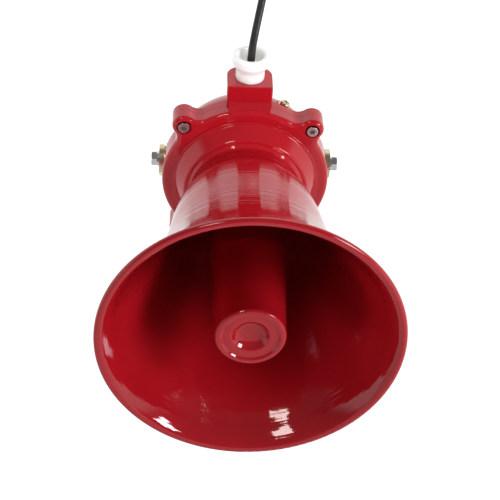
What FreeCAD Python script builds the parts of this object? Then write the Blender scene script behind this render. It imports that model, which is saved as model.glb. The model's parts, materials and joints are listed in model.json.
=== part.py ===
"""Wall-mounted alarm siren: a folded horn with its driver, housing, bracket, cable gland and lead.

Units are millimetres.  The siren is drawn level, about its pivot, with the horn pointing along -Y.
"ahead" is a distance in front of the pivot, so it is -Y there.  The finished solids are then tilted
nose down and moved in front of the wall.  In the part's own frame the wall is the plane y = 0, the
origin is the middle of the bracket's back face, +Z is up and the siren hangs at -Y.
"""
import FreeCAD
import Part
import math
import os

# ---- driving dimensions -------------------------------------------------------------------------
ARM = 97.0               # wall to pivot
TILT = 38.0              # nose-down angle at rest, degrees

MOUTH_R = 105.0          # outer radius of the horn's mouth
MOUTH = 207.8            # front of the rolled rim, ahead of the pivot
RIM_R = 2.6              # section radius of the rolled rim
BELL_WALL = 2.0
ROOT_R = 39.6            # outside of the horn's root
RIM_JOIN = 35.0          # where the bell's outside meets the rim, degrees behind the rim's inner edge
BELL_OUTSIDE = (         # radius and distance ahead of the pivot, from the root to the rim
    (ROOT_R, 43.0), (40.6, 48.0), (43.0, 54.0), (46.5, 60.0), (49.3, 66.0), (51.9, 74.0),
    (54.4, 84.0), (57.7, 102.0), (62.0, 122.0), (69.4, 144.0), (79.0, 166.0), (88.8, 184.0),
    (93.2, 192.0), (96.9, 199.2), (98.9, 202.3),
)
LIP = (99.6, 206.5)      # a point on the lip's face, between the bell's inside and the rim
SEAT_RING = 3.0          # thickness of the bell's seating ring
HORN_SCREW_R = 27.0

FLANGE_R = 62.7          # cover and housing flanges
COVER_FACE = 26.4        # front face of the cover's flange, ahead of the pivot
JOINT = 15.0             # back face of the cover's flange, ahead of the pivot
HOUSING_FLANGE_BACK = 8.0
GASKET = 0.25
COVER_ROUND = 3.6        # rounding of the cover flange's front edge
NOSE_BASE_R = 53.0
NOSE_R = 45.9
NOSE_RIM = 39.0          # front edge of the nose, ahead of the pivot
NOSE_FACE = 41.0         # where the horn is seated, ahead of the pivot
CAVITY_R = 43.5          # driver's space inside the nose
CAVITY_END = 36.0
SPIGOT_R = 51.9

EAR_R = 8.7
EAR_CIRCLE_R = 67.0      # bolt circle of the four ears
EAR_FILLET_R = 9.0
SCREW_SEAT = 21.0        # floor of the ears' counterbores, ahead of the pivot
COUNTERBORE_R = 5.5
DIAGONALS = (45.0, 135.0, 225.0, 315.0)
QUARTERS = (0.0, 90.0, 180.0, 270.0)

BODY_R = 58.0            # housing behind its flange
BODY_BORE_R = 52.0
DOME_R = 42.0            # rounding of the housing's back
DOME_START = 5.5         # ahead of the pivot, where the rounding starts
BOSS_R = 12.0
BOSS_FACE = 59.9         # half the width over the two pivot bosses
RELIEF_R = 17.5          # spot face in the flange's edge, where a bracket arm swings
EARTH_ANGLE = 26.3       # earth screw, from the top
EARTH_STATION = 3.0
EARTH_PAD = BODY_R + 1.6

INLET_WIDTH = 33.5       # cable inlet block, across the siren
INLET_FRONT = 17.3
INLET_DEPTH = 28.0
INLET_TOP = 78.5         # top of the block above the horn's axis
INLET_CORNER_R = 10.0

STRIP_WIDTH = 22.0       # bracket strip
STRIP = 4.0
ARM_INSIDE = 61.2        # half the gap between the bracket's arms
BEND_R = 4.0
PIVOT_SHANK_R = 3.0
PIVOT_CLEARANCE = 0.08   # bolt shank in the bracket arm, on the radius
PLAY = 0.1               # gap between a bracket arm and what is clamped on it
ARM_OUTSIDE = ARM_INSIDE + STRIP
FLAT_WASHER = 0.6
SPRING_WASHER = 1.2
FRICTION_WASHER = ARM_INSIDE - BOSS_FACE - PLAY
WALL_HOLE_R = 3.25
WALL_HOLE_SPACING = 80.0
CENTRE_HOLE_R = 5.25

CUP_FRONT = 201.8        # front of the reflector cup, ahead of the pivot
CUP_FRONT_R = 24.3
CUP_BACK = 80.0
CUP_BACK_R = 28.2
CUP_WALL = 1.8
THROAT_R = 12.5
THROAT_BORE_R = 10.5
THROAT_END = 168.0
SPIDER_BACK = 92.0
SPIDER_FRONT = 112.0

# stations of the driver's parts, ahead of the pivot
PLATE_BACK = 29.0
CLAMP_BACK = 27.0
TOP_PLATE_BACK = 22.0
MAGNET_BACK = 10.0
YOKE_BACK = 5.0
ARRESTOR_R = 13.0
MOTOR_R = 34.0
DRIVER_SCREW_R = 39.3
MAGNET_SCREW_R = 30.5
DIAPHRAGM_R = 22.0
COIL_OUTER_R = 20.4
COIL_INNER_R = 19.6
TAG_GAP = 4.0            # half the distance between the two solder tags

STANDOFF_R = 46.5
BOARD_FRONT = -4.0       # negative: behind the pivot
BOARD = 1.6
BOARD_R = 49.4
PARTS_SIDE = BOARD_FRONT - BOARD
TERMINAL_X = -10.0
TERMINAL_Z = 22.0
POLE_GAP = 4.0           # half the distance between the two terminals

GLAND_Y = -3.4           # middle of the inlet block
GLAND_R = 10.6
GLAND_COLLAR_R = 13.8
GLAND_TOP = 98.2
GLAND_THREAD_R = 8.9
LEAD_R = 2.8
LEAD_BEGIN = 83.0        # lead's lower end in the gland, above the horn's axis
CORE_R = 0.8             # insulated cores inside the housing
FITTING_LENGTH = 24.0

BIG = 400.0              # larger than the part, for cutting tools


# ---- general shapes -----------------------------------------------------------------------------
def at(x, y, z):
    return FreeCAD.Vector(x, y, z)


def corner(previous, point, following, radius):
    """The two tangent points and the middle of the arc that rounds one corner."""
    back = (previous - point).normalize()
    forth = (following - point).normalize()
    half = back.getAngle(forth) / 2
    trim = radius / math.tan(half)
    inward = (back + forth).normalize()
    middle = point + inward * (radius / math.sin(half) - radius)
    return point + back * trim, middle, point + forth * trim


def rounded_wire(corners):
    """Closed wire through (point, radius) pairs, with a tangent arc where the radius isn't zero."""
    arcs = []
    for index, (point, radius) in enumerate(corners):
        previous = corners[index - 1][0]
        following = corners[(index + 1) % len(corners)][0]
        if radius:
            arcs.append(corner(previous, point, following, radius))
        else:
            arcs.append((point, None, point))
    edges = []
    for index, (start, middle, end) in enumerate(arcs):
        if middle:
            edges.append(Part.Arc(start, middle, end).toShape())
        edges.append(Part.LineSegment(end, arcs[(index + 1) % len(arcs)][0]).toShape())
    return Part.Wire(edges)


def turned(outline):
    """Solid of revolution about the horn's axis from (radius, ahead) or (radius, ahead, rounding)."""
    corners = [(at(point[0], -point[1], 0), point[2] if len(point) > 2 else 0) for point in outline]
    return Part.Face(rounded_wire(corners)).revolve(at(0, 0, 0), at(0, 1, 0), 360)


def ring(outer_r, inner_r, back, front):
    """Washer-like ring or, with no inner radius, a disc, between two stations ahead of the pivot."""
    disc = Part.makeCylinder(outer_r, front - back, at(0, -back, 0), at(0, -1, 0))
    if not inner_r:
        return disc
    return disc.cut(Part.makeCylinder(inner_r, BIG, at(0, BIG / 2, 0), at(0, -1, 0)))


def peg(radius, start, direction, length):
    return Part.makeCylinder(radius, length, start, direction)


def on_circle(radius, degrees, ahead):
    """A point at an angle from the top, clockwise seen from the front's right."""
    angle = math.radians(degrees)
    return at(radius * math.sin(angle), -ahead, radius * math.cos(angle))


def hexagon(across_flats, start, direction, length):
    """Hexagonal prism that starts on a face and grows along a direction."""
    corner_r = across_flats / 2 / math.cos(math.radians(30))
    points = []
    for index in range(7):
        angle = math.radians(60 * index)
        points.append(at(corner_r * math.cos(angle), corner_r * math.sin(angle), 0))
    prism = Part.Face(Part.makePolygon(points)).extrude(at(0, 0, length))
    prism.Placement = FreeCAD.Placement(start, FreeCAD.Rotation(at(0, 0, 1), direction))
    return prism


def socket_screw(seat, direction, shank_r, shank, head_r, head, key):
    """Cap screw: direction points from the seat to the top of the head."""
    screw = peg(shank_r, seat - direction * shank, direction, shank + head)
    screw = screw.fuse(peg(head_r, seat, direction, head)).removeSplitter()
    top_edges = [edge for edge in screw.Edges if abs(edge.Length - 2 * math.pi * head_r) < 0.01]
    top = [edge for edge in top_edges if (edge.CenterOfMass - seat).dot(direction) > head / 2]
    screw = screw.makeFillet(0.4, top)
    return screw.cut(hexagon(key, seat + direction * head * 0.45, direction, head))


def pan_screw(seat, direction, shank_r, shank, head_r, head):
    """Pan-head screw with a cross recess."""
    screw = peg(shank_r, seat - direction * shank, direction, shank + 0.5)
    crown = peg(head_r, seat, direction, head)
    top = [edge for edge in crown.Edges if (edge.CenterOfMass - seat).dot(direction) > head * 0.9
           and edge.Length > head_r * 4]
    screw = screw.fuse(crown.makeFillet(head * 0.55, top)).removeSplitter()
    turn = FreeCAD.Rotation(at(0, 0, 1), direction)
    for size_x, size_y in ((head_r * 1.15, head_r * 0.28), (head_r * 0.28, head_r * 1.15)):
        slot = Part.makeBox(size_x, size_y, head, at(-size_x / 2, -size_y / 2, 0))
        slot.Placement = FreeCAD.Placement(seat + direction * head * 0.45, turn)
        screw = screw.cut(slot)
    return screw


def washer(outer_r, inner_r, thickness, seat, direction):
    disc = peg(outer_r, seat, direction, thickness)
    return disc.cut(peg(inner_r, seat - direction * thickness, direction, thickness * 3))


def split_washer(outer_r, inner_r, thickness, seat, direction):
    """Spring washer with its cut."""
    whole = washer(outer_r, inner_r, thickness, seat, direction)
    gap = Part.makeBox(0.6, outer_r * 2, thickness * 3, at(-0.3, 0, -thickness))
    gap.Placement = FreeCAD.Placement(seat, FreeCAD.Rotation(at(0, 0, 1), direction))
    return whole.cut(gap)


def group(shapes):
    """Identical separate solids that share one node."""
    return Part.makeCompound(shapes)


FRONT = at(0, -1, 0)
BACK = at(0, 1, 0)
UP = at(0, 0, 1)
DOWN = at(0, 0, -1)
SIDES = (at(-1, 0, 0), at(1, 0, 0))


# ---- housing ------------------------------------------------------------------------------------
def lobed_plate(back, front):
    """Round flange with four ears that run into it through concave fillets."""
    reach = FLANGE_R + EAR_FILLET_R
    span = EAR_R + EAR_FILLET_R
    cosine = (reach ** 2 + EAR_CIRCLE_R ** 2 - span ** 2) / (2 * reach * EAR_CIRCLE_R)
    spread = math.degrees(math.acos(cosine))
    edges = []
    for index, angle in enumerate(DIAGONALS):
        lobe = on_circle(EAR_CIRCLE_R, angle, back)
        joins = []
        for side in (-1, 1):
            hub = on_circle(reach, angle + side * spread, back)
            to_lobe = (lobe - hub).normalize()
            to_centre = (at(0, -back, 0) - hub).normalize()
            on_lobe = hub + to_lobe * EAR_FILLET_R
            on_flange = hub + to_centre * EAR_FILLET_R
            middle = hub + (to_lobe + to_centre).normalize() * EAR_FILLET_R
            edges.append(Part.Arc(on_flange, middle, on_lobe).toShape())
            joins.append(on_lobe)
        tip = on_circle(EAR_CIRCLE_R + EAR_R, angle, back)
        edges.append(Part.Arc(joins[0], tip, joins[1]).toShape())
        next_angle = DIAGONALS[(index + 1) % 4] + (360 if index == 3 else 0)
        start = on_circle(FLANGE_R, angle + spread, back)
        halfway = on_circle(FLANGE_R, (angle + next_angle) / 2, back)
        end = on_circle(FLANGE_R, next_angle - spread, back)
        edges.append(Part.Arc(start, halfway, end).toShape())
    outline = Part.Wire(Part.__sortEdges__(edges))
    return Part.Face(outline).extrude(FRONT * (front - back))


def edges_in_plane(shape, ahead, smallest_r):
    """Edges that lie in one station's plane, outside a radius."""
    found = []
    for edge in shape.Edges:
        box = edge.BoundBox
        flat = abs(box.YMin + ahead) < 0.001 and abs(box.YMax + ahead) < 0.001
        middle = edge.valueAt((edge.FirstParameter + edge.LastParameter) / 2)
        if flat and math.hypot(middle.x, middle.z) > smallest_r:
            found.append(edge)
    return found


def front_cover():
    """Cast cover: lobed flange, stepped nose that holds the driver, and a saddle under the inlet."""
    plate = lobed_plate(JOINT, COVER_FACE)
    plate = plate.makeFillet(COVER_ROUND, edges_in_plane(plate, COVER_FACE, FLANGE_R - 1))
    step = COVER_FACE + 1.5
    nose = turned([
        (0, 24), (NOSE_BASE_R + 2.0, 24), (NOSE_BASE_R + 2.0, step, 0.9), (NOSE_BASE_R, step, 0.8),
        (NOSE_R, NOSE_RIM, 2.0), (43.4, NOSE_RIM, 1.2), (41.6, NOSE_FACE, 1.0), (0, NOSE_FACE),
    ])
    saddle = Part.Face(Part.makePolygon([
        at(-15.5, -JOINT - 2.6, 50), at(-15.5, -JOINT - 2.6, 66.2), at(-15.5, -COVER_FACE + 1.0, 61.0),
        at(-15.5, -COVER_FACE + 1.0, 50), at(-15.5, -JOINT - 2.6, 50),
    ])).extrude(at(31, 0, 0))
    spigot = ring(SPIGOT_R, 0, 11.0, JOINT + 1)
    cover = plate.fuse([nose, saddle, spigot])
    cover = cover.cut(ring(CAVITY_R, 0, 10.0, CAVITY_END))
    cover = cover.cut(ring(ARRESTOR_R + 0.1, 0, CAVITY_END - 1, NOSE_FACE + 1))
    for angle in DIAGONALS:
        cover = cover.cut(peg(COUNTERBORE_R, on_circle(EAR_CIRCLE_R, angle, SCREW_SEAT), FRONT, 10))
        cover = cover.cut(peg(2.75, on_circle(EAR_CIRCLE_R, angle, JOINT - 1), FRONT, 10))
    for angle in QUARTERS:
        cover = cover.cut(peg(2.0, on_circle(HORN_SCREW_R, angle, CAVITY_END - 1), FRONT, 8))
    for angle in DIAGONALS:
        cover = cover.cut(peg(2.0, on_circle(DRIVER_SCREW_R, angle, CAVITY_END - 1), FRONT, 3.6))
    for angle in DIAGONALS:
        cover = cover.cut(peg(1.5, on_circle(STANDOFF_R, angle, 10), FRONT, 8))
    return cover.removeSplitter()


def dome(wall):
    """Body with a rounded back; wall takes the same shape inwards from the outside."""
    middle_r = BODY_R - DOME_R
    radius = DOME_R - wall
    outer_r = BODY_R - wall
    back = DOME_START - radius
    diagonal = math.sqrt(0.5)
    edges = [
        Part.LineSegment(at(0, -JOINT + GASKET, 0), at(outer_r, -JOINT + GASKET, 0)).toShape(),
        Part.LineSegment(at(outer_r, -JOINT + GASKET, 0), at(outer_r, -DOME_START, 0)).toShape(),
        Part.Arc(at(outer_r, -DOME_START, 0),
                 at(middle_r + radius * diagonal, -DOME_START + radius * diagonal, 0),
                 at(middle_r, -back, 0)).toShape(),
        Part.LineSegment(at(middle_r, -back, 0), at(0, -back, 0)).toShape(),
        Part.LineSegment(at(0, -back, 0), at(0, -JOINT + GASKET, 0)).toShape(),
    ]
    return Part.Face(Part.Wire(edges)).revolve(at(0, 0, 0), at(0, 1, 0), 360)


def inlet_block():
    """Upright boss for the cable entry, square in front and rounded behind."""
    half = INLET_WIDTH / 2
    front = -INLET_FRONT
    back = front + INLET_DEPTH
    foot = 40.0
    wire = rounded_wire([
        (at(-half, front, foot), 1.2), (at(half, front, foot), 1.2),
        (at(half, back, foot), INLET_CORNER_R), (at(-half, back, foot), INLET_CORNER_R),
    ])
    block = Part.Face(wire).extrude(UP * (INLET_TOP - foot))
    top = [edge for edge in block.Edges if abs(edge.BoundBox.ZMin - INLET_TOP) < 0.001]
    block = block.makeFillet(0.9, top)
    keep_clear = ring(FLANGE_R + 0.3, 0, JOINT - GASKET, COVER_FACE + 1)
    return block.cut(keep_clear)


def earth_direction():
    return on_circle(1, EARTH_ANGLE, 0)


def rear_housing():
    """Cast pot with the inlet block, ears for the cover screws and two pivot bosses."""
    body = dome(0).fuse([lobed_plate(HOUSING_FLANGE_BACK, JOINT - GASKET), inlet_block()])
    for side in SIDES:
        body = body.fuse(peg(BOSS_R, side * 40, side, BOSS_FACE - 40))
    outward = earth_direction()
    body = body.fuse(peg(6.2, on_circle(50, EARTH_ANGLE, EARTH_STATION), outward, EARTH_PAD - 50))
    body = body.cut(dome(BODY_R - BODY_BORE_R))
    for side in SIDES:
        body = body.fuse(peg(BOSS_R - 3, side * 49, side, BOSS_FACE - 49))
        body = body.cut(peg(PIVOT_SHANK_R, side * 51.2, side, 20))
        body = body.cut(peg(RELIEF_R, side * BOSS_FACE, side, 10))
    for angle in DIAGONALS:
        body = body.cut(peg(2.5, on_circle(EAR_CIRCLE_R, angle, HOUSING_FLANGE_BACK - 1), FRONT, 10))
    body = body.cut(peg(2.0, on_circle(54.5, EARTH_ANGLE, EARTH_STATION), outward, 10))
    passage = at(0, GLAND_Y, 45)
    body = body.cut(peg(7.5, passage, UP, 40))
    body = body.cut(peg(GLAND_THREAD_R + 0.05, at(0, GLAND_Y, INLET_TOP - 12), UP, 20))
    return body.removeSplitter()


def housing_gasket():
    return ring(61.4, SPIGOT_R + 0.3, JOINT - GASKET, JOINT)


def cover_screws():
    seat = SCREW_SEAT + 1.0
    return group([socket_screw(on_circle(EAR_CIRCLE_R, angle, seat), FRONT, 2.5, 12.4, 4.25, 5.0, 4.0)
                  for angle in DIAGONALS])


def cover_spring_washers():
    return group([split_washer(4.2, 2.6, 1.0, on_circle(EAR_CIRCLE_R, angle, SCREW_SEAT), FRONT)
                  for angle in DIAGONALS])


def earth_screw():
    seat = on_circle(EARTH_PAD + 1.6, EARTH_ANGLE, EARTH_STATION)
    return pan_screw(seat, earth_direction(), 2.0, 5.5, 3.9, 2.6)


def earth_washers():
    """Flat washer under a spring washer."""
    flat = washer(4.8, 2.15, 0.7, on_circle(EARTH_PAD, EARTH_ANGLE, EARTH_STATION), earth_direction())
    seat = on_circle(EARTH_PAD + 0.7, EARTH_ANGLE, EARTH_STATION)
    return group([flat, split_washer(3.7, 2.15, 0.9, seat, earth_direction())])


# ---- horn ---------------------------------------------------------------------------------------
def horn_bell():
    """Spun bell: seating ring, crown, flare and a rolled rim."""
    rim_r, rim_ahead = MOUTH_R - RIM_R, MOUTH - RIM_R
    join = at(rim_r - RIM_R * math.cos(math.radians(RIM_JOIN)),
              -rim_ahead + RIM_R * math.sin(math.radians(RIM_JOIN)), 0)
    outer = Part.BSplineCurve()
    outer_points = [at(radius, -ahead, 0) for radius, ahead in BELL_OUTSIDE]
    outer.interpolate(outer_points + [join])
    inner_points = []
    for point in outer_points:
        tangent = outer.tangent(outer.parameter(point))[0]
        inward = at(0, 0, 1).cross(tangent).normalize()
        if inward.x > 0:
            inward = inward * -1
        inner_points.append(point + inward * BELL_WALL)
    rim_front = at(rim_r, -MOUTH, 0)
    inner = Part.BSplineCurve()
    inner.interpolate(inner_points + [at(LIP[0], -LIP[1], 0), rim_front])
    seat_top = NOSE_FACE + SEAT_RING
    seat = [inner.StartPoint, at(inner.StartPoint.x, -seat_top, 0), at(21.0, -seat_top, 0),
            at(21.0, -NOSE_FACE, 0), at(ROOT_R, -NOSE_FACE, 0), outer.StartPoint]
    edges = [Part.LineSegment(first, second).toShape() for first, second in zip(seat, seat[1:])]
    edges.append(outer.toShape())
    edges.append(Part.Arc(join, at(MOUTH_R, -rim_ahead, 0), rim_front).toShape())
    edges.append(inner.toShape())
    section = Part.Face(Part.Wire(Part.__sortEdges__(edges)))
    bell = section.revolve(at(0, 0, 0), at(0, 1, 0), 360)
    for angle in QUARTERS:
        bell = bell.cut(peg(2.15, on_circle(HORN_SCREW_R, angle, NOSE_FACE - 1), FRONT, 6))
    return bell


def throat_tube():
    """Tube that carries the sound forward into the reflector, on a foot that clamps the bell."""
    foot = NOSE_FACE + SEAT_RING
    tube = turned([
        (THROAT_BORE_R, NOSE_FACE + 0.2), (20.7, NOSE_FACE + 0.2), (20.7, foot), (32.0, foot),
        (32.0, foot + 3.0, 1.0), (16.5, foot + 3.0, 2.5), (THROAT_R, foot + 12),
        (THROAT_R, THROAT_END, 0.6), (THROAT_BORE_R, THROAT_END, 0.6),
    ])
    for angle in QUARTERS:
        tube = tube.cut(peg(2.15, on_circle(HORN_SCREW_R, angle, foot - 1), FRONT, 6))
    return tube


def horn_screws():
    seat = NOSE_FACE + SEAT_RING + 3.0
    return group([socket_screw(on_circle(HORN_SCREW_R, angle, seat), FRONT, 2.0, 10.5, 3.5, 4.0, 3.0)
                  for angle in QUARTERS])


def cup_radius(ahead):
    """Outside radius of the slightly tapered reflector cup."""
    share = (ahead - CUP_BACK) / (CUP_FRONT - CUP_BACK)
    return CUP_BACK_R + share * (CUP_FRONT_R - CUP_BACK_R)


def reflector_cup():
    """Cup with its mouth to the back; its closed front has a raised rim, a flat ring and a dish."""
    inside_front = CUP_FRONT - 9.8
    floor = CUP_FRONT - 1.6
    outside = turned([
        (0, CUP_BACK), (CUP_BACK_R, CUP_BACK), (CUP_FRONT_R, CUP_FRONT, 2.4), (20.4, CUP_FRONT, 1.0),
        (19.0, floor, 1.0), (13.2, floor, 2.0), (8.6, floor - 5.5, 8.5), (0, floor - 5.7),
    ])
    inside = turned([
        (0, CUP_BACK - 1), (CUP_BACK_R - CUP_WALL, CUP_BACK - 1),
        (cup_radius(inside_front) - CUP_WALL, inside_front, 6.0), (0, inside_front),
    ])
    return outside.cut(inside)


def reflector_spider():
    """Hub on the throat tube with three webs that carry the cup."""
    spider = ring(THROAT_R + 2.4, THROAT_R, SPIDER_BACK, SPIDER_FRONT)
    reach = cup_radius(SPIDER_FRONT) - CUP_WALL
    for angle in (0, 120, 240):
        web = Part.makeBox(2.4, SPIDER_FRONT - SPIDER_BACK, reach - THROAT_R - 1,
                           at(-1.2, -SPIDER_FRONT, THROAT_R + 1))
        web.rotate(at(0, 0, 0), at(0, 1, 0), angle)
        spider = spider.fuse(web)
    bore = turned([
        (0, SPIDER_BACK - 1), (cup_radius(SPIDER_BACK - 1) - CUP_WALL, SPIDER_BACK - 1),
        (cup_radius(SPIDER_FRONT + 1) - CUP_WALL, SPIDER_FRONT + 1), (0, SPIDER_FRONT + 1),
    ])
    return spider.common(bore).removeSplitter()


# ---- driver -------------------------------------------------------------------------------------
def flame_arrestor():
    """Sintered bronze plug in the throat, with its retaining step in the driver's plate."""
    return ring(ARRESTOR_R, 0, CAVITY_END, NOSE_FACE)


def driver_front_plate():
    """Plate over the diaphragm, hollowed for the dome and opening into the throat."""
    plate = ring(43.2, 0, PLATE_BACK, CAVITY_END)
    plate = plate.cut(turned([
        (0, PLATE_BACK - 1), (24.0, PLATE_BACK - 1), (24.0, PLATE_BACK + 1.2), (9.0, CAVITY_END - 0.6),
        (9.0, CAVITY_END + 1), (0, CAVITY_END + 1),
    ]))
    for angle in DIAGONALS:
        plate = plate.cut(peg(2.15, on_circle(DRIVER_SCREW_R, angle, PLATE_BACK - 1), FRONT, 9))
    for angle in QUARTERS:
        plate = plate.cut(peg(1.65, on_circle(MAGNET_SCREW_R, angle, PLATE_BACK - 1), FRONT, 9))
        plate = plate.cut(peg(3.1, on_circle(MAGNET_SCREW_R, angle, CAVITY_END - 3.2), FRONT, 9))
    return plate


def driver_screws():
    return group([socket_screw(on_circle(DRIVER_SCREW_R, angle, PLATE_BACK), BACK, 2.0, 9.4, 3.5, 4.0, 3.0)
                  for angle in DIAGONALS])


def magnet_screws():
    return group([socket_screw(on_circle(MAGNET_SCREW_R, angle, CAVITY_END - 3.2), FRONT,
                               1.5, 8.0, 2.75, 3.0, 2.5)
                  for angle in QUARTERS])


def diaphragm_clamp_ring():
    clamp = ring(MOTOR_R, 26.0, CLAMP_BACK, PLATE_BACK)
    for angle in QUARTERS:
        clamp = clamp.cut(peg(1.65, on_circle(MAGNET_SCREW_R, angle, CLAMP_BACK - 1), FRONT, 5))
    return clamp


def diaphragm_surround():
    """Thin flexible ring between the moving dome and the clamp ring."""
    return turned([
        (DIAPHRAGM_R + 0.3, CLAMP_BACK + 1.3), (25.8, CLAMP_BACK + 1.3), (25.8, CLAMP_BACK + 1.9),
        (DIAPHRAGM_R + 0.3, CLAMP_BACK + 1.9),
    ])


def diaphragm_dome():
    """Shallow dome with a flat edge where the coil is bonded."""
    edge = CLAMP_BACK + 1.3
    skin = 0.6
    rise = 4.0
    dome_r = (COIL_INNER_R ** 2 + rise ** 2) / (2 * rise)
    centre = at(0, -(edge + rise - dome_r), 0)
    flat = ring(DIAPHRAGM_R, COIL_INNER_R - 0.8, edge, edge + skin)
    shell = Part.makeSphere(dome_r + skin, centre).cut(Part.makeSphere(dome_r, centre))
    shell = shell.common(ring(COIL_INNER_R, 0, edge, edge + 10))
    return shell.fuse(flat).removeSplitter()


def voice_coil():
    return ring(COIL_OUTER_R, COIL_INNER_R, 19.5, CLAMP_BACK + 1.3)


def driver_top_plate():
    plate = ring(MOTOR_R, COIL_OUTER_R + 0.5, TOP_PLATE_BACK, CLAMP_BACK)
    for angle in QUARTERS:
        plate = plate.cut(peg(1.5, on_circle(MAGNET_SCREW_R, angle, CLAMP_BACK - 3.6), FRONT, 5))
    return plate


def driver_magnet():
    return turned([
        (25.0, MAGNET_BACK, 0.6), (MOTOR_R - 0.5, MAGNET_BACK, 0.6),
        (MOTOR_R - 0.5, TOP_PLATE_BACK, 0.6), (25.0, TOP_PLATE_BACK, 0.6),
    ])


def driver_yoke():
    """Back plate and pole piece in one turning."""
    return turned([
        (0, YOKE_BACK), (MOTOR_R - 1.5, YOKE_BACK), (MOTOR_R, YOKE_BACK + 1.5), (MOTOR_R, MAGNET_BACK),
        (COIL_INNER_R - 0.5, MAGNET_BACK), (COIL_INNER_R - 0.5, 26.4, 0.8), (0, 26.4),
    ])


def terminal_strip():
    """Insulating block on the edge of the clamp ring's plate for the coil's two tags."""
    return Part.makeBox(14, 4.5, 3.0, at(-7, -CLAMP_BACK, MOTOR_R + 0.3))


def driver_tags():
    """Two brass solder tags standing on the strip."""
    tags = []
    for x in (-TAG_GAP, TAG_GAP):
        tag = Part.makeBox(2.4, 9.0, 0.6, at(x - 1.2, -CLAMP_BACK - 0.5, MOTOR_R + 3.3))
        tags.append(tag.cut(peg(0.6, at(x, -CLAMP_BACK + 6.8, MOTOR_R), UP, 8)))
    return group(tags)


# ---- electronics --------------------------------------------------------------------------------
def board_standoffs():
    """Hexagonal pillars from the cover's spigot to the circuit board."""
    length = 11.0 - BOARD_FRONT
    pillars = []
    for angle in DIAGONALS:
        start = on_circle(STANDOFF_R, angle, 11.0)
        pillar = hexagon(5.5, start, BACK, length).fuse(peg(1.4, start, FRONT, 4))
        pillars.append(pillar.cut(peg(1.3, start + BACK * (length - 6), BACK, 7)))
    return group(pillars)


def siren_board():
    """Round board with flats beside the pivot bosses and a notch for the lead's cores."""
    board = ring(BOARD_R, 0, PARTS_SIDE, BOARD_FRONT)
    board = board.common(Part.makeBox(95.0, BIG, BIG, at(-47.5, -BIG / 2, -BIG / 2)))
    board = board.cut(Part.makeBox(16.0, BIG, 12.0, at(-8.0, -BIG / 2, 39.5)))
    for angle in DIAGONALS:
        board = board.cut(peg(1.6, on_circle(STANDOFF_R, angle, PARTS_SIDE - 1), FRONT, 4))
    return board


def board_screws():
    return group([pan_screw(on_circle(STANDOFF_R, angle, PARTS_SIDE), BACK, 1.25, 6.0, 2.0, 1.3)
                  for angle in DIAGONALS])


def board_box(x, z, size_x, size_z, height):
    """Block that stands on the component side of the board."""
    return Part.makeBox(size_x, height, size_z, at(x - size_x / 2, -PARTS_SIDE, z - size_z / 2))


def transformer_core():
    """Laminated frame with a window on each side of the middle limb."""
    core = board_box(-12, -8, 26, 22, 17)
    for side in (-1, 1):
        core = core.cut(board_box(-12 + side * 6.5, -8, 6.6, 13.2, 18))
    return core


def transformer_winding():
    """Bobbin that fills the windows and stands proud of the core."""
    limb = board_box(-12, -8, 6.6, 13.4, 20)
    coil = board_box(-12, -8, 19.2, 12.8, 19)
    return coil.cut(limb)


def board_capacitors():
    cans = []
    for x, z, radius, height in ((14.0, 16.0, 5.0, 16.0), (26.0, 13.0, 4.0, 12.0)):
        can = peg(radius, at(x, -PARTS_SIDE, z), BACK, height)
        top = [edge for edge in can.Edges if edge.BoundBox.YMin > -PARTS_SIDE + height - 0.1
               and edge.Length > radius * 5]
        cans.append(can.makeFillet(0.8, top))
    return group(cans)


def heatsink():
    """Plate with five fins."""
    sink = board_box(17, -12, 3.0, 26, 18)
    for index in range(5):
        sink = sink.fuse(board_box(21.5, -22 + index * 5, 6.2, 1.4, 18))
    return sink.removeSplitter()


def transistor():
    """Power device against the heatsink's plate."""
    return board_box(13.2, -12, 4.5, 10, 15)


def terminal_block():
    """Two-way screw terminal for the lead."""
    block = board_box(TERMINAL_X, TERMINAL_Z, 16, 10, 11)
    for side in (-1, 1):
        centre_x = TERMINAL_X + side * POLE_GAP
        block = block.cut(peg(2.2, at(centre_x, -PARTS_SIDE + 8, TERMINAL_Z), BACK, 6))
        block = block.cut(Part.makeBox(4.4, 5, 6, at(centre_x - 2.2, -PARTS_SIDE + 1.5, TERMINAL_Z + 2)))
    return block


def terminal_screws():
    screws = []
    for side in (-1, 1):
        centre_x = TERMINAL_X + side * POLE_GAP
        screw = peg(2.0, at(centre_x, -PARTS_SIDE + 8, TERMINAL_Z), BACK, 2.0)
        slot = Part.makeBox(4.4, 1.4, 0.7, at(centre_x - 2.2, -PARTS_SIDE + 9.2, TERMINAL_Z - 0.35))
        screws.append(screw.cut(slot))
    return group(screws)


# ---- cable entry --------------------------------------------------------------------------------
def gland_body():
    """White bush: threaded spigot, plain barrel and a flared collar with a rounded, open mouth."""
    outline = [
        (3.6, INLET_TOP - 10), (GLAND_THREAD_R, INLET_TOP - 10), (GLAND_THREAD_R, INLET_TOP),
        (GLAND_R, INLET_TOP, 0.5),
        (GLAND_R, 86.4, 5.0), (GLAND_COLLAR_R, 91.6, 3.0), (GLAND_COLLAR_R, GLAND_TOP, 2.3),
        (9.4, GLAND_TOP, 1.4), (7.2, 89.5), (3.6, 87.0),
    ]
    wire = rounded_wire([(at(p[0], 0, p[1]), p[2] if len(p) > 2 else 0) for p in outline])
    body = Part.Face(wire).revolve(at(0, 0, 0), at(0, 0, 1), 360)
    body.translate(at(0, GLAND_Y, 0))
    return body


def gland_seal():
    """Rubber ring that grips the lead, just below the mouth."""
    seal = peg(3.55, at(0, GLAND_Y, INLET_TOP - 9), UP, 16)
    return seal.cut(peg(LEAD_R, at(0, GLAND_Y, INLET_TOP - 12), UP, 30))


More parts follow.
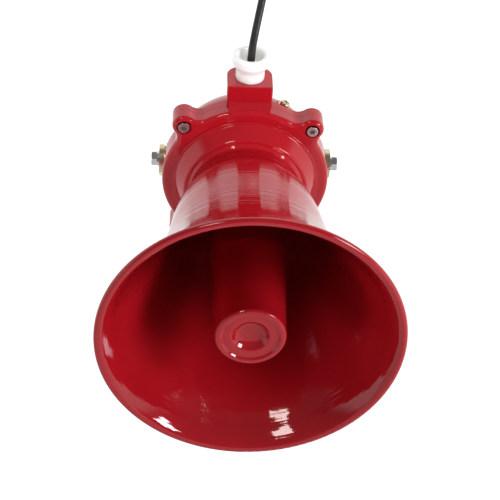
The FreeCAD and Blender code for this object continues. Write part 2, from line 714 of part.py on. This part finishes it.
def tube(route, radius, name):
    """Round tube: straight runs joined by arcs as large as the runs allow."""
    edges = []
    start = route[0]
    bends = []
    for before, point, after in zip(route, route[1:], route[2:]):
        first_run = point - before
        second_run = after - point
        half_turn = first_run.getAngle(second_run) / 2
        bend = 0.45 * min(first_run.Length, second_run.Length) / math.tan(half_turn)
        bends.append(round(bend, 1))
        first, middle, last = corner(before, point, after, bend)
        edges.append(Part.LineSegment(start, first).toShape())
        edges.append(Part.Arc(first, middle, last).toShape())
        start = last
    edges.append(Part.LineSegment(start, route[-1]).toShape())
    path = Part.Wire(edges)
    section = Part.makeCircle(radius, route[0], route[1] - route[0])
    solid = path.makePipeShell([Part.Wire([section])], True, False)
    expected = math.pi * radius ** 2 * path.Length
    print(name, "bends", bends, "length", round(path.Length, 1),
          "volume ratio", round(solid.Volume / expected, 4))
    return solid


def supply_cores():
    """The lead's two cores, from its end in the gland to the terminal block."""
    cores = []
    wire_y = -PARTS_SIDE + 4.0
    for side in (-1, 1):
        pole_x = TERMINAL_X + side * POLE_GAP
        route = (at(side * 1.3, GLAND_Y, LEAD_BEGIN), at(side * 1.3, GLAND_Y, 62.0),
                 at(side * 1.8 - 2, 0.5, 49.0), at(pole_x * 0.55, wire_y - 1.5, 38.0),
                 at(pole_x, wire_y, 31.5), at(pole_x, wire_y, TERMINAL_Z + 2.2))
        cores.append(tube(route, CORE_R, "core"))
    return group(cores)


def driver_leads():
    """Two wires from the solder tags to the board."""
    leads = []
    for side in (-1, 1):
        near = side * TAG_GAP
        far = side * (TAG_GAP + 3.0)
        route = (at(near, -CLAMP_BACK + 8.6, MOTOR_R + 3.6), at(near, -11.5, MOTOR_R + 3.6),
                 at(far, -4.0, MOTOR_R + 1.0), at(far, -BOARD_FRONT, MOTOR_R + 1.0))
        leads.append(tube(route, CORE_R, "driver lead"))
    return group(leads)


# ---- bracket and pivot --------------------------------------------------------------------------
def wall_bracket():
    """U of steel strip: flat base on the wall and two arms with rounded ends."""
    inside = ARM_INSIDE
    outside = ARM_INSIDE + STRIP
    front = -ARM - STRIP_WIDTH
    outer = rounded_wire([
        (at(-outside, front, 0), 0), (at(-outside, 0, 0), BEND_R + STRIP),
        (at(outside, 0, 0), BEND_R + STRIP), (at(outside, front, 0), 0),
    ])
    inner = rounded_wire([
        (at(-inside, front - 1, 0), 0), (at(-inside, -STRIP, 0), BEND_R),
        (at(inside, -STRIP, 0), BEND_R), (at(inside, front - 1, 0), 0),
    ])
    strip = Part.Face(outer).extrude(UP * STRIP_WIDTH)
    strip = strip.cut(Part.Face(inner).extrude(UP * STRIP_WIDTH))
    strip.translate(DOWN * (STRIP_WIDTH / 2))
    half = STRIP_WIDTH / 2
    left = -BIG / 2
    side_view = rounded_wire([
        (at(left, 1, half), 0), (at(left, -ARM - half, half), half - 0.01),
        (at(left, -ARM - half, -half), half - 0.01), (at(left, 1, -half), 0),
    ])
    strip = strip.common(Part.Face(side_view).extrude(at(BIG, 0, 0)))
    for side in SIDES:
        hole_r = PIVOT_SHANK_R + PIVOT_CLEARANCE
        strip = strip.cut(peg(hole_r, side * 50 + at(0, -ARM, 0), side, 20))
        strip = strip.cut(peg(WALL_HOLE_R, side * (WALL_HOLE_SPACING / 2) + at(0, 1, 0), FRONT, 6))
    return strip.cut(peg(CENTRE_HOLE_R, at(0, 1, 0), FRONT, 6))


def pivot_friction_washers():
    """Fibre washers between the bosses and the bracket's arms."""
    return group([washer(9.5, 3.3, FRICTION_WASHER, side * BOSS_FACE, side) for side in SIDES])


def pivot_flat_washers():
    return group([washer(6.0, 3.2, FLAT_WASHER, side * (ARM_OUTSIDE + PLAY), side) for side in SIDES])


def pivot_spring_washers():
    seat_x = ARM_OUTSIDE + PLAY + FLAT_WASHER
    return group([split_washer(5.4, 3.2, SPRING_WASHER, side * seat_x, side) for side in SIDES])


def pivot_bolts():
    """Hexagon-head bolts that clamp the arms against the housing."""
    bolts = []
    seat_x = ARM_OUTSIDE + PLAY + FLAT_WASHER + SPRING_WASHER
    for side in SIDES:
        seat = side * seat_x
        head = hexagon(10.0, seat, side, 4.0)
        rounding = turned_cone(seat, side)
        shank = peg(PIVOT_SHANK_R, side * 51.5, side, seat_x - 51.0)
        bolts.append(head.common(rounding).fuse(shank).removeSplitter())
    return group(bolts)


def turned_cone(seat, direction):
    """Cone that takes the sharp corners off a hexagon head's top."""
    cone = Part.makeCone(9.4, 5.2, 4.2)
    cone.Placement = FreeCAD.Placement(seat - direction * 0.2, FreeCAD.Rotation(at(0, 0, 1), direction))
    return cone


# ---- lead ---------------------------------------------------------------------------------------
# The route is in the part's own frame: it leaves the gland along the gland's axis, turns upright
# and goes up to the fitting that holds it.
def siren_place():
    """Placement that tilts what was drawn level and moves it in front of the wall."""
    return FreeCAD.Placement(at(0, -ARM, 0), FreeCAD.Rotation(at(1, 0, 0), TILT))


LEAD_ROUTE = (
    siren_place().multVec(at(0, GLAND_Y, LEAD_BEGIN)),
    siren_place().multVec(at(0, GLAND_Y, LEAD_BEGIN + 14.0)),
    at(1.4, -163.9, 87.6),
    at(8.2, -163.9, 123.0),
)


def lead_direction():
    return (LEAD_ROUTE[-1] - LEAD_ROUTE[-2]).normalize()


def lead_cable():
    return tube(LEAD_ROUTE, LEAD_R, "lead")


def lead_fitting():
    """Cord grip at the lead's upper end: hexagon, threaded neck and a domed cap nut below."""
    along = lead_direction()
    start = LEAD_ROUTE[-1]
    outline = [
        (0, 0), (4.2, 0, 0.6), (8.2, 2.6, 1.6), (8.2, 10.5, 0.5), (6.0, 10.5), (6.0, 15.5),
        (6.0, FITTING_LENGTH, 0.5), (0, FITTING_LENGTH),
    ]
    wire = rounded_wire([(at(p[0], 0, p[1]), p[2] if len(p) > 2 else 0) for p in outline])
    body = Part.Face(wire).revolve(at(0, 0, 0), at(0, 0, 1), 360)
    body = body.fuse(hexagon(15.0, at(0, 0, 11.5), UP, 4.5))
    body.Placement = FreeCAD.Placement(start, FreeCAD.Rotation(at(0, 0, 1), along))
    return body.removeSplitter()


def lead_fitting_nut():
    """Locknut on the cord grip's thread."""
    along = lead_direction()
    seat = LEAD_ROUTE[-1] + along * 17.5
    nut = hexagon(16.0, seat, along, 3.2)
    return nut.cut(peg(6.0, seat - along, along, 6))


# ---- assembly -----------------------------------------------------------------------------------
LEVEL_NODES = {
    "front_cover": front_cover,
    "rear_housing": rear_housing,
    "housing_gasket": housing_gasket,
    "cover_screws": cover_screws,
    "cover_spring_washers": cover_spring_washers,
    "earth_screw": earth_screw,
    "earth_washers": earth_washers,
    "horn_bell": horn_bell,
    "throat_tube": throat_tube,
    "horn_screws": horn_screws,
    "reflector_cup": reflector_cup,
    "reflector_spider": reflector_spider,
    "flame_arrestor": flame_arrestor,
    "driver_front_plate": driver_front_plate,
    "driver_screws": driver_screws,
    "magnet_screws": magnet_screws,
    "diaphragm_clamp_ring": diaphragm_clamp_ring,
    "diaphragm_surround": diaphragm_surround,
    "diaphragm_dome": diaphragm_dome,
    "voice_coil": voice_coil,
    "driver_top_plate": driver_top_plate,
    "driver_magnet": driver_magnet,
    "driver_yoke": driver_yoke,
    "terminal_strip": terminal_strip,
    "driver_tags": driver_tags,
    "board_standoffs": board_standoffs,
    "siren_board": siren_board,
    "board_screws": board_screws,
    "transformer_core": transformer_core,
    "transformer_winding": transformer_winding,
    "board_capacitors": board_capacitors,
    "heatsink": heatsink,
    "transistor": transistor,
    "terminal_block": terminal_block,
    "terminal_screws": terminal_screws,
    "gland_body": gland_body,
    "gland_seal": gland_seal,
    "supply_cores": supply_cores,
    "driver_leads": driver_leads,
    "pivot_friction_washers": pivot_friction_washers,
    "pivot_flat_washers": pivot_flat_washers,
    "pivot_spring_washers": pivot_spring_washers,
    "pivot_bolts": pivot_bolts,
}
WALL_NODES = {
    "wall_bracket": wall_bracket,
    "lead_cable": lead_cable,
    "lead_fitting": lead_fitting,
    "lead_fitting_nut": lead_fitting_nut,
}


def save(name, shape):
    for solid in shape.Solids:
        if not solid.isValid() or not solid.isClosed() or solid.Volume <= 0:
            print("PROBLEM in", name)
    shape.exportStep(os.path.join("parts", name + ".step"))


def main():
    os.makedirs("parts", exist_ok=True)
    for name, make in LEVEL_NODES.items():
        shape = make()
        shape.Placement = siren_place().multiply(shape.Placement)
        save(name, shape)
    for name, make in WALL_NODES.items():
        save(name, make())


main()
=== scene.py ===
import json
import math
import bpy
from mathutils import Matrix, Vector


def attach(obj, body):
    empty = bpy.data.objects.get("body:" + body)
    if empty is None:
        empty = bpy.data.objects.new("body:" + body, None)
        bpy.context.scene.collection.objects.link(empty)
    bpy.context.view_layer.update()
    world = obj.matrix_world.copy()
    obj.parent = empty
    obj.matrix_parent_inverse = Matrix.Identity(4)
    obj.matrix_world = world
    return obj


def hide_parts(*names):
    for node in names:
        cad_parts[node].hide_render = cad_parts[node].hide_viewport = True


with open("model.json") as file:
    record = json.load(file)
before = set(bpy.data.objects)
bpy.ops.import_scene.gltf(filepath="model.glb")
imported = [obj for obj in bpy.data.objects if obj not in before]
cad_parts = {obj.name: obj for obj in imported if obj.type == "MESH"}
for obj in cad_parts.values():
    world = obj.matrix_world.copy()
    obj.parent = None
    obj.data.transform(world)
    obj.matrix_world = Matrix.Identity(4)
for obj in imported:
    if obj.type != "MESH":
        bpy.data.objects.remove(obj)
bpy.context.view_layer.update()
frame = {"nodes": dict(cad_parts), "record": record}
nodes = frame["nodes"]

# ---------------------------------------------------------------- camera
CAMERA_PLACE = (-0.05891, -1.31441, -0.04390)
CAMERA_RIGHT = (0.998202, -0.052954, 0.028078)
CAMERA_UP = (-0.026971, 0.021517, 0.999405)
CAMERA_LENS = 114.17
SENSOR_WIDTH = 36.0

# ---------------------------------------------------------------- lead
MM = 0.001                                      # the route is written in millimetres
LEAD_R = 2.8 * MM
LEAD_ROUTE_MM = (
    (0.0, -150.78, 63.31),
    (0.0, -159.40, 74.34),
    (1.4, -163.9, 87.6),
    (8.2, -163.9, 123.0),
)

# ---------------------------------------------------------------- materials
NOISE_LOW = 0.3                                 # most of a noise lies between these two
NOISE_HIGH = 0.7
GRAIN_DEPTH = 0.0002
TILT = math.radians(38.0)                       # the horn points this far down
AXIS_TURN = (-math.pi / 2 - TILT, 0.0, 0.0)     # turns the horn's axis to +Z
SPUN_NODES = ("horn_bell", "reflector_cup")
RINGS_FULL = 0.21                               # along the horn's axis, the last of the plain neck
RINGS_FAINT = 0.26                              # along the horn's axis, near the mouth
FAINT_RINGS = 0.2                               # what is left of the rings at the mouth
FINE_RINGS = 600.0                              # rings in a metre
BROAD_RINGS = 90.0
ORANGE_PEEL = 900.0                             # dimples in a metre
ENAMEL_WAVES = 120.0
RED = (0.41, 0.0115, 0.021)
RED_DEEP = (0.38, 0.0100, 0.018)

# ---------------------------------------------------------------- studio
WHITE = (1.0, 1.0, 1.0)
ROOM_SIDE = (0.0, -0.98, 0.20)                  # the side of the studio that is dim
ROOM_EDGE = (0.22, 0.45)                        # where the glow fades from studio to room
STUDIO_GLOW = 0.82
ROOM_GLOW = 0.15
FLOOR_R = 1.2
FLOOR_Z = -0.55
FLOOR_CORNERS = 96
LIGHT_TARGET = (0.0, -0.15, 0.0)
LIGHTS = (               # name, place, width, height, watts, colour, lights surfaces, seen in reflections
    ("right_window", (1.25, -1.15, 0.06), 0.50, 0.32, 8.0, (0.90, 0.91, 1.0), True, True),
    ("left_window", (-0.62, -1.40, 0.66), 0.36, 0.30, 3.0, (1.0, 0.96, 0.92), False, True),
    ("ceiling", (-0.30, -0.30, 1.70), 1.6, 1.6, 6.0, WHITE, True, False),
    ("right_side", (1.25, -1.25, -0.35), 0.5, 0.5, 9.5, WHITE, True, False),
    ("left_side", (-1.50, -0.80, -0.60), 0.5, 0.5, 7.0, WHITE, True, False),
)
SPOT_PLACE = (0.0, -1.65, 0.10)
SPOT_TARGET = (0.0, -0.15, 0.025)
SPOT_WATTS = 36.0
SPOT_WIDTH = math.radians(6.6)
SPOT_EDGE = 0.5                                 # share of the beam over which it fades
SPOT_SIZE = 0.04


def link(name, data):
    """A new object in the scene with this mesh, curve, light or camera."""
    piece = bpy.data.objects.new(name, data)
    bpy.context.scene.collection.objects.link(piece)
    return piece


def make_camera():
    """The photographed view: a long lens a little below the siren."""
    data = bpy.data.cameras.new("camera")
    data.sensor_width = SENSOR_WIDTH
    data.lens = CAMERA_LENS
    data.clip_start = 0.05
    data.clip_end = 20.0
    camera = link("camera", data)
    right = Vector(CAMERA_RIGHT)
    up = Vector(CAMERA_UP)
    back = right.cross(up)
    turn = Matrix((right, up, back)).transposed().to_4x4()
    camera.matrix_world = Matrix.Translation(CAMERA_PLACE) @ turn
    bpy.context.scene.camera = camera


def smooth_line(name, points):
    """A NURBS curve with these control points."""
    curve = bpy.data.curves.new(name, "CURVE")
    curve.dimensions = "3D"
    spline = curve.splines.new("NURBS")
    spline.points.add(len(points) - 1)
    for control, place in zip(spline.points, points):
        control.co = (*place, 1.0)
    spline.order_u = 3
    spline.use_endpoint_u = True
    spline.resolution_u = 24
    return curve


def make_lead(sheath):
    """The black lead, as one smooth line through the same route as the CAD tube."""
    points = [Vector(place) * MM for place in LEAD_ROUTE_MM]
    curve = smooth_line("lead_line", points)
    curve.bevel_depth = LEAD_R
    curve.bevel_resolution = 8
    curve.use_fill_caps = True
    curve.materials.append(sheath)
    lead = link("lead_sheath", curve)
    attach(lead, "siren")
    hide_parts("lead_cable")


# ---------------------------------------------------------------- materials
def new_material(name):
    """A material of one Principled shader, with its node tree and that shader."""
    material = bpy.data.materials.new(name)
    material.use_nodes = True
    tree = material.node_tree
    tree.nodes.clear()
    output = tree.nodes.new("ShaderNodeOutputMaterial")
    shader = tree.nodes.new("ShaderNodeBsdfPrincipled")
    tree.links.new(shader.outputs["BSDF"], output.inputs["Surface"])
    return material, tree, shader


def noise(tree, scale, detail=2.0, stretch=(1.0, 1.0, 1.0)):
    """Noise fixed to the part, with this many waves in a metre."""
    texture = tree.nodes.new("ShaderNodeTexNoise")
    texture.inputs["Scale"].default_value = scale
    texture.inputs["Detail"].default_value = detail
    tree.links.new(object_place(tree, stretch=stretch), texture.inputs["Vector"])
    return texture.outputs["Fac"]


def ranged(tree, value, low, high):
    """The middle of a noise spread from low to high."""
    stretch = tree.nodes.new("ShaderNodeMapRange")
    stretch.inputs["From Min"].default_value = NOISE_LOW
    stretch.inputs["From Max"].default_value = NOISE_HIGH
    stretch.inputs["To Min"].default_value = low
    stretch.inputs["To Max"].default_value = high
    tree.links.new(value, stretch.inputs["Value"])
    return stretch.outputs["Result"]


def tinted(tree, value, first, second):
    """The middle of a noise turned into a blend of two colours."""
    ramp = tree.nodes.new("ShaderNodeValToRGB")
    ramp.color_ramp.elements[0].position = NOISE_LOW
    ramp.color_ramp.elements[0].color = (*first, 1.0)
    ramp.color_ramp.elements[1].position = NOISE_HIGH
    ramp.color_ramp.elements[1].color = (*second, 1.0)
    tree.links.new(value, ramp.inputs["Fac"])
    return ramp.outputs["Color"]


def object_place(tree, turn=(0.0, 0.0, 0.0), stretch=(1.0, 1.0, 1.0)):
    """Where the surface point is in the part's own frame, turned and stretched."""
    place = tree.nodes.new("ShaderNodeTexCoord")
    mapping = tree.nodes.new("ShaderNodeMapping")
    mapping.inputs["Rotation"].default_value = turn
    mapping.inputs["Scale"].default_value = stretch
    tree.links.new(place.outputs["Object"], mapping.inputs["Vector"])
    return mapping.outputs["Vector"]


def lathe_rings(tree, scale):
    """Uneven fine rings about the horn's axis, as a forming tool leaves them, fainter at the mouth."""
    along = tree.nodes.new("ShaderNodeSeparateXYZ")
    tree.links.new(object_place(tree, turn=AXIS_TURN), along.inputs["Vector"])
    texture = tree.nodes.new("ShaderNodeTexNoise")
    texture.noise_dimensions = "1D"
    texture.inputs["Scale"].default_value = scale
    texture.inputs["Detail"].default_value = 1.0
    tree.links.new(along.outputs["Z"], texture.inputs["W"])
    fade = tree.nodes.new("ShaderNodeMapRange")
    fade.inputs["From Min"].default_value = RINGS_FULL
    fade.inputs["From Max"].default_value = RINGS_FAINT
    fade.inputs["To Min"].default_value = 1.0
    fade.inputs["To Max"].default_value = FAINT_RINGS
    tree.links.new(along.outputs["Z"], fade.inputs["Value"])
    rings = tree.nodes.new("ShaderNodeMath")
    rings.operation = "MULTIPLY"
    tree.links.new(texture.outputs["Fac"], rings.inputs[0])
    tree.links.new(fade.outputs["Result"], rings.inputs[1])
    return rings.outputs["Value"]


def bumps(tree, shader, layers):
    """Chain several bump layers; each is a height, a strength and a depth in metres."""
    normal = None
    for height, strength, depth in layers:
        bump = tree.nodes.new("ShaderNodeBump")
        bump.inputs["Strength"].default_value = strength
        bump.inputs["Distance"].default_value = depth
        tree.links.new(height, bump.inputs["Height"])
        if normal:
            tree.links.new(normal, bump.inputs["Normal"])
        normal = bump.outputs["Normal"]
    tree.links.new(normal, shader.inputs["Normal"])
    return normal


def simple(name, first, second, rough, metal=0.0, scale=400.0, bump=0.15):
    """A material with mottled colour, roughness that varies and a fine bump."""
    material, tree, shader = new_material(name)
    broad = noise(tree, scale * 0.2)
    fine = noise(tree, scale, 4.0)
    tree.links.new(tinted(tree, broad, first, second), shader.inputs["Base Color"])
    tree.links.new(ranged(tree, fine, rough[0], rough[1]), shader.inputs["Roughness"])
    shader.inputs["Metallic"].default_value = metal
    bumps(tree, shader, [(fine, bump, GRAIN_DEPTH)])
    return material


def enamel(name, spun):
    """Glossy red baked enamel with orange peel; spun parts show the forming rings through it."""
    material, tree, shader = new_material(name)
    broad = noise(tree, 30.0)
    peel = noise(tree, ORANGE_PEEL)
    waves = noise(tree, ENAMEL_WAVES)
    tree.links.new(tinted(tree, broad, RED_DEEP, RED), shader.inputs["Base Color"])
    tree.links.new(ranged(tree, peel, 0.05, 0.08), shader.inputs["Roughness"])
    shader.inputs["IOR"].default_value = 1.5
    shader.inputs["Coat Weight"].default_value = 0.5
    shader.inputs["Coat Roughness"].default_value = 0.02
    layers = [(peel, 0.04, GRAIN_DEPTH), (waves, 0.05, 0.0006)]
    if spun:
        layers.append((lathe_rings(tree, FINE_RINGS), 0.55, 0.0003))
        layers.append((lathe_rings(tree, BROAD_RINGS), 0.06, 0.0005))
    normal = bumps(tree, shader, layers)
    tree.links.new(normal, shader.inputs["Coat Normal"])
    return material


def plated(name, first, second, rough, stretch):
    """Zinc or steel with a fine directional grain and cloudy passivation."""
    material, tree, shader = new_material(name)
    cloud = noise(tree, 60.0, 3.0)
    grain = noise(tree, 500.0, 4.0, stretch)
    tree.links.new(tinted(tree, cloud, first, second), shader.inputs["Base Color"])
    tree.links.new(ranged(tree, grain, rough[0], rough[1]), shader.inputs["Roughness"])
    shader.inputs["Metallic"].default_value = 1.0
    bumps(tree, shader, [(grain, 0.12, GRAIN_DEPTH), (cloud, 0.08, 0.0005)])
    return material


def nylon():
    """White satin nylon with a little light scattered under its surface."""
    material, tree, shader = new_material("white_nylon")
    cloud = noise(tree, 80.0)
    grain = noise(tree, 1400.0, 3.0)
    white = tinted(tree, cloud, (0.86, 0.86, 0.85), (0.89, 0.89, 0.88))
    tree.links.new(white, shader.inputs["Base Color"])
    tree.links.new(ranged(tree, grain, 0.34, 0.50), shader.inputs["Roughness"])
    shader.inputs["Subsurface Weight"].default_value = 0.8
    shader.inputs["Subsurface Radius"].default_value = (0.012, 0.011, 0.010)
    shader.inputs["Subsurface Scale"].default_value = 0.7
    bumps(tree, shader, [(grain, 0.10, 0.0001)])
    return material


def make_materials():
    """Every material by its slot's name, and the spun enamel."""
    steel_grain = (1.0, 1.0, 4.0)
    strip_grain = (1.0, 0.1, 2.0)
    return {
        "red_enamel": enamel("red_enamel", False),
        "spun_enamel": enamel("spun_enamel", True),
        "yellow_zinc": plated("yellow_zinc", (0.72, 0.57, 0.37), (0.84, 0.73, 0.54), (0.24, 0.38),
                              strip_grain),
        "bright_zinc": plated("bright_zinc", (0.72, 0.74, 0.75), (0.84, 0.85, 0.84), (0.18, 0.34),
                              steel_grain),
        "stainless": plated("stainless", (0.70, 0.71, 0.72), (0.80, 0.80, 0.80), (0.16, 0.30),
                            steel_grain),
        "fibre": simple("fibre", (0.16, 0.04, 0.02), (0.22, 0.06, 0.03), (0.5, 0.7)),
        "rubber": simple("rubber", (0.012, 0.012, 0.013), (0.02, 0.02, 0.02), (0.5, 0.75)),
        "sintered_bronze": simple("sintered_bronze", (0.30, 0.15, 0.06), (0.42, 0.24, 0.10), (0.4, 0.6),
                                  1.0, scale=1500.0, bump=0.6),
        "bare_aluminium": plated("bare_aluminium", (0.55, 0.56, 0.57), (0.66, 0.66, 0.66), (0.3, 0.45),
                                 steel_grain),
        "phenolic": simple("phenolic", (0.03, 0.018, 0.012), (0.045, 0.03, 0.02), (0.3, 0.5)),
        "amber_film": simple("amber_film", (0.45, 0.20, 0.03), (0.55, 0.27, 0.05), (0.2, 0.35)),
        "copper": simple("copper", (0.62, 0.25, 0.12), (0.72, 0.34, 0.18), (0.25, 0.4), 1.0),
        "ferrite": simple("ferrite", (0.02, 0.02, 0.022), (0.035, 0.035, 0.036), (0.45, 0.65)),
        "brass": simple("brass", (0.62, 0.44, 0.16), (0.72, 0.54, 0.24), (0.25, 0.4), 1.0),
        "board_green": simple("board_green", (0.01, 0.12, 0.035), (0.015, 0.16, 0.05), (0.25, 0.4)),
        "black_plastic": simple("black_plastic", (0.012, 0.012, 0.013), (0.02, 0.02, 0.021), (0.3, 0.45)),
        "black_anodised": simple("black_anodised", (0.015, 0.015, 0.017), (0.03, 0.03, 0.03), (0.35, 0.5),
                                 0.6),
        "terminal_green": simple("terminal_green", (0.02, 0.22, 0.08), (0.03, 0.27, 0.10), (0.35, 0.5)),
        "white_nylon": nylon(),
        "core_insulation": simple("core_insulation", (0.30, 0.10, 0.05), (0.36, 0.13, 0.07),
                                  (0.35, 0.5)),
        "black_pvc": simple("black_pvc", (0.028, 0.028, 0.027), (0.036, 0.036, 0.034), (0.32, 0.42),
                            scale=900.0, bump=0.2),
    }


def paint(materials):
    """Every CAD node takes the material its record row names; spun parts take the spun enamel."""
    for row in frame["record"]["subparts"]:
        name = "spun_enamel" if row["node"] in SPUN_NODES else row["material_slot"]
        for holder in nodes[row["node"]].material_slots:
            holder.material = materials[name]


# ---------------------------------------------------------------- stage and light
def aim(light, place, target):
    """Puts a light at its place, turned to its target, and out of the camera's sight."""
    light.location = place
    light.rotation_euler = (Vector(target) - Vector(place)).to_track_quat("-Z", "Y").to_euler()
    light.visible_camera = False


def area_light(name, place, width, height, power, colour, on_surfaces, in_reflections):
    """A soft rectangular light aimed at the siren."""
    data = bpy.data.lights.new(name, "AREA")
    data.shape = "RECTANGLE"
    data.size = width
    data.size_y = height
    data.energy = power
    data.color = colour
    light = link(name, data)
    light.visible_diffuse = on_surfaces
    light.visible_glossy = in_reflections
    aim(light, place, LIGHT_TARGET)


def spot_light():
    """A narrow light from the front that falls on the housing and not into the horn."""
    data = bpy.data.lights.new("housing_spot", "SPOT")
    data.energy = SPOT_WATTS
    data.spot_size = SPOT_WIDTH
    data.spot_blend = SPOT_EDGE
    data.shadow_soft_size = SPOT_SIZE
    light = link("housing_spot", data)
    light.visible_glossy = False
    aim(light, SPOT_PLACE, SPOT_TARGET)


def make_stage():
    """A plain pale round floor under the siren."""
    mesh = bpy.data.meshes.new("floor")
    corners = []
    for step in range(FLOOR_CORNERS):
        angle = 2 * math.pi * step / FLOOR_CORNERS
        corners.append((FLOOR_R * math.cos(angle), FLOOR_R * math.sin(angle), FLOOR_Z))
    mesh.from_pydata(corners, [], [tuple(range(FLOOR_CORNERS))])
    floor = link("floor", mesh)
    floor_paint = simple("floor_paint", (0.69, 0.69, 0.69), (0.73, 0.73, 0.73), (0.7, 0.8),
                         scale=60.0, bump=0.05)
    mesh.materials.append(floor_paint)


def make_world():
    """White to the camera; otherwise pale above, below and behind, and a dim room in front."""
    world = bpy.data.worlds.new("studio")
    bpy.context.scene.world = world
    world.use_nodes = True
    tree = world.node_tree
    tree.nodes.clear()
    output = tree.nodes.new("ShaderNodeOutputWorld")
    seen = tree.nodes.new("ShaderNodeBackground")
    seen.inputs["Color"].default_value = (*WHITE, 1.0)
    place = tree.nodes.new("ShaderNodeTexCoord")
    side = tree.nodes.new("ShaderNodeVectorMath")
    side.operation = "DOT_PRODUCT"
    side.inputs[1].default_value = ROOM_SIDE
    tree.links.new(place.outputs["Generated"], side.inputs[0])
    glow = tree.nodes.new("ShaderNodeMapRange")
    glow.interpolation_type = "SMOOTHSTEP"
    glow.inputs["From Min"].default_value = ROOM_EDGE[0]
    glow.inputs["From Max"].default_value = ROOM_EDGE[1]
    glow.inputs["To Min"].default_value = STUDIO_GLOW
    glow.inputs["To Max"].default_value = ROOM_GLOW
    tree.links.new(side.outputs["Value"], glow.inputs["Value"])
    surround = tree.nodes.new("ShaderNodeBackground")
    surround.inputs["Color"].default_value = (*WHITE, 1.0)
    tree.links.new(glow.outputs["Result"], surround.inputs["Strength"])
    ray = tree.nodes.new("ShaderNodeLightPath")
    choice = tree.nodes.new("ShaderNodeMixShader")
    tree.links.new(ray.outputs["Is Camera Ray"], choice.inputs["Fac"])
    tree.links.new(surround.outputs["Background"], choice.inputs[1])
    tree.links.new(seen.outputs["Background"], choice.inputs[2])
    tree.links.new(choice.outputs["Shader"], output.inputs["Surface"])


def make_light():
    """The surroundings, the lamps and the contrast of the picture."""
    make_world()
    for row in LIGHTS:
        area_light(*row)
    spot_light()
    bpy.context.scene.view_settings.view_transform = "Standard"
    bpy.context.scene.view_settings.look = "Medium High Contrast"


make_camera()
materials = make_materials()
make_lead(materials["black_pvc"])
paint(materials)
make_stage()
make_light()
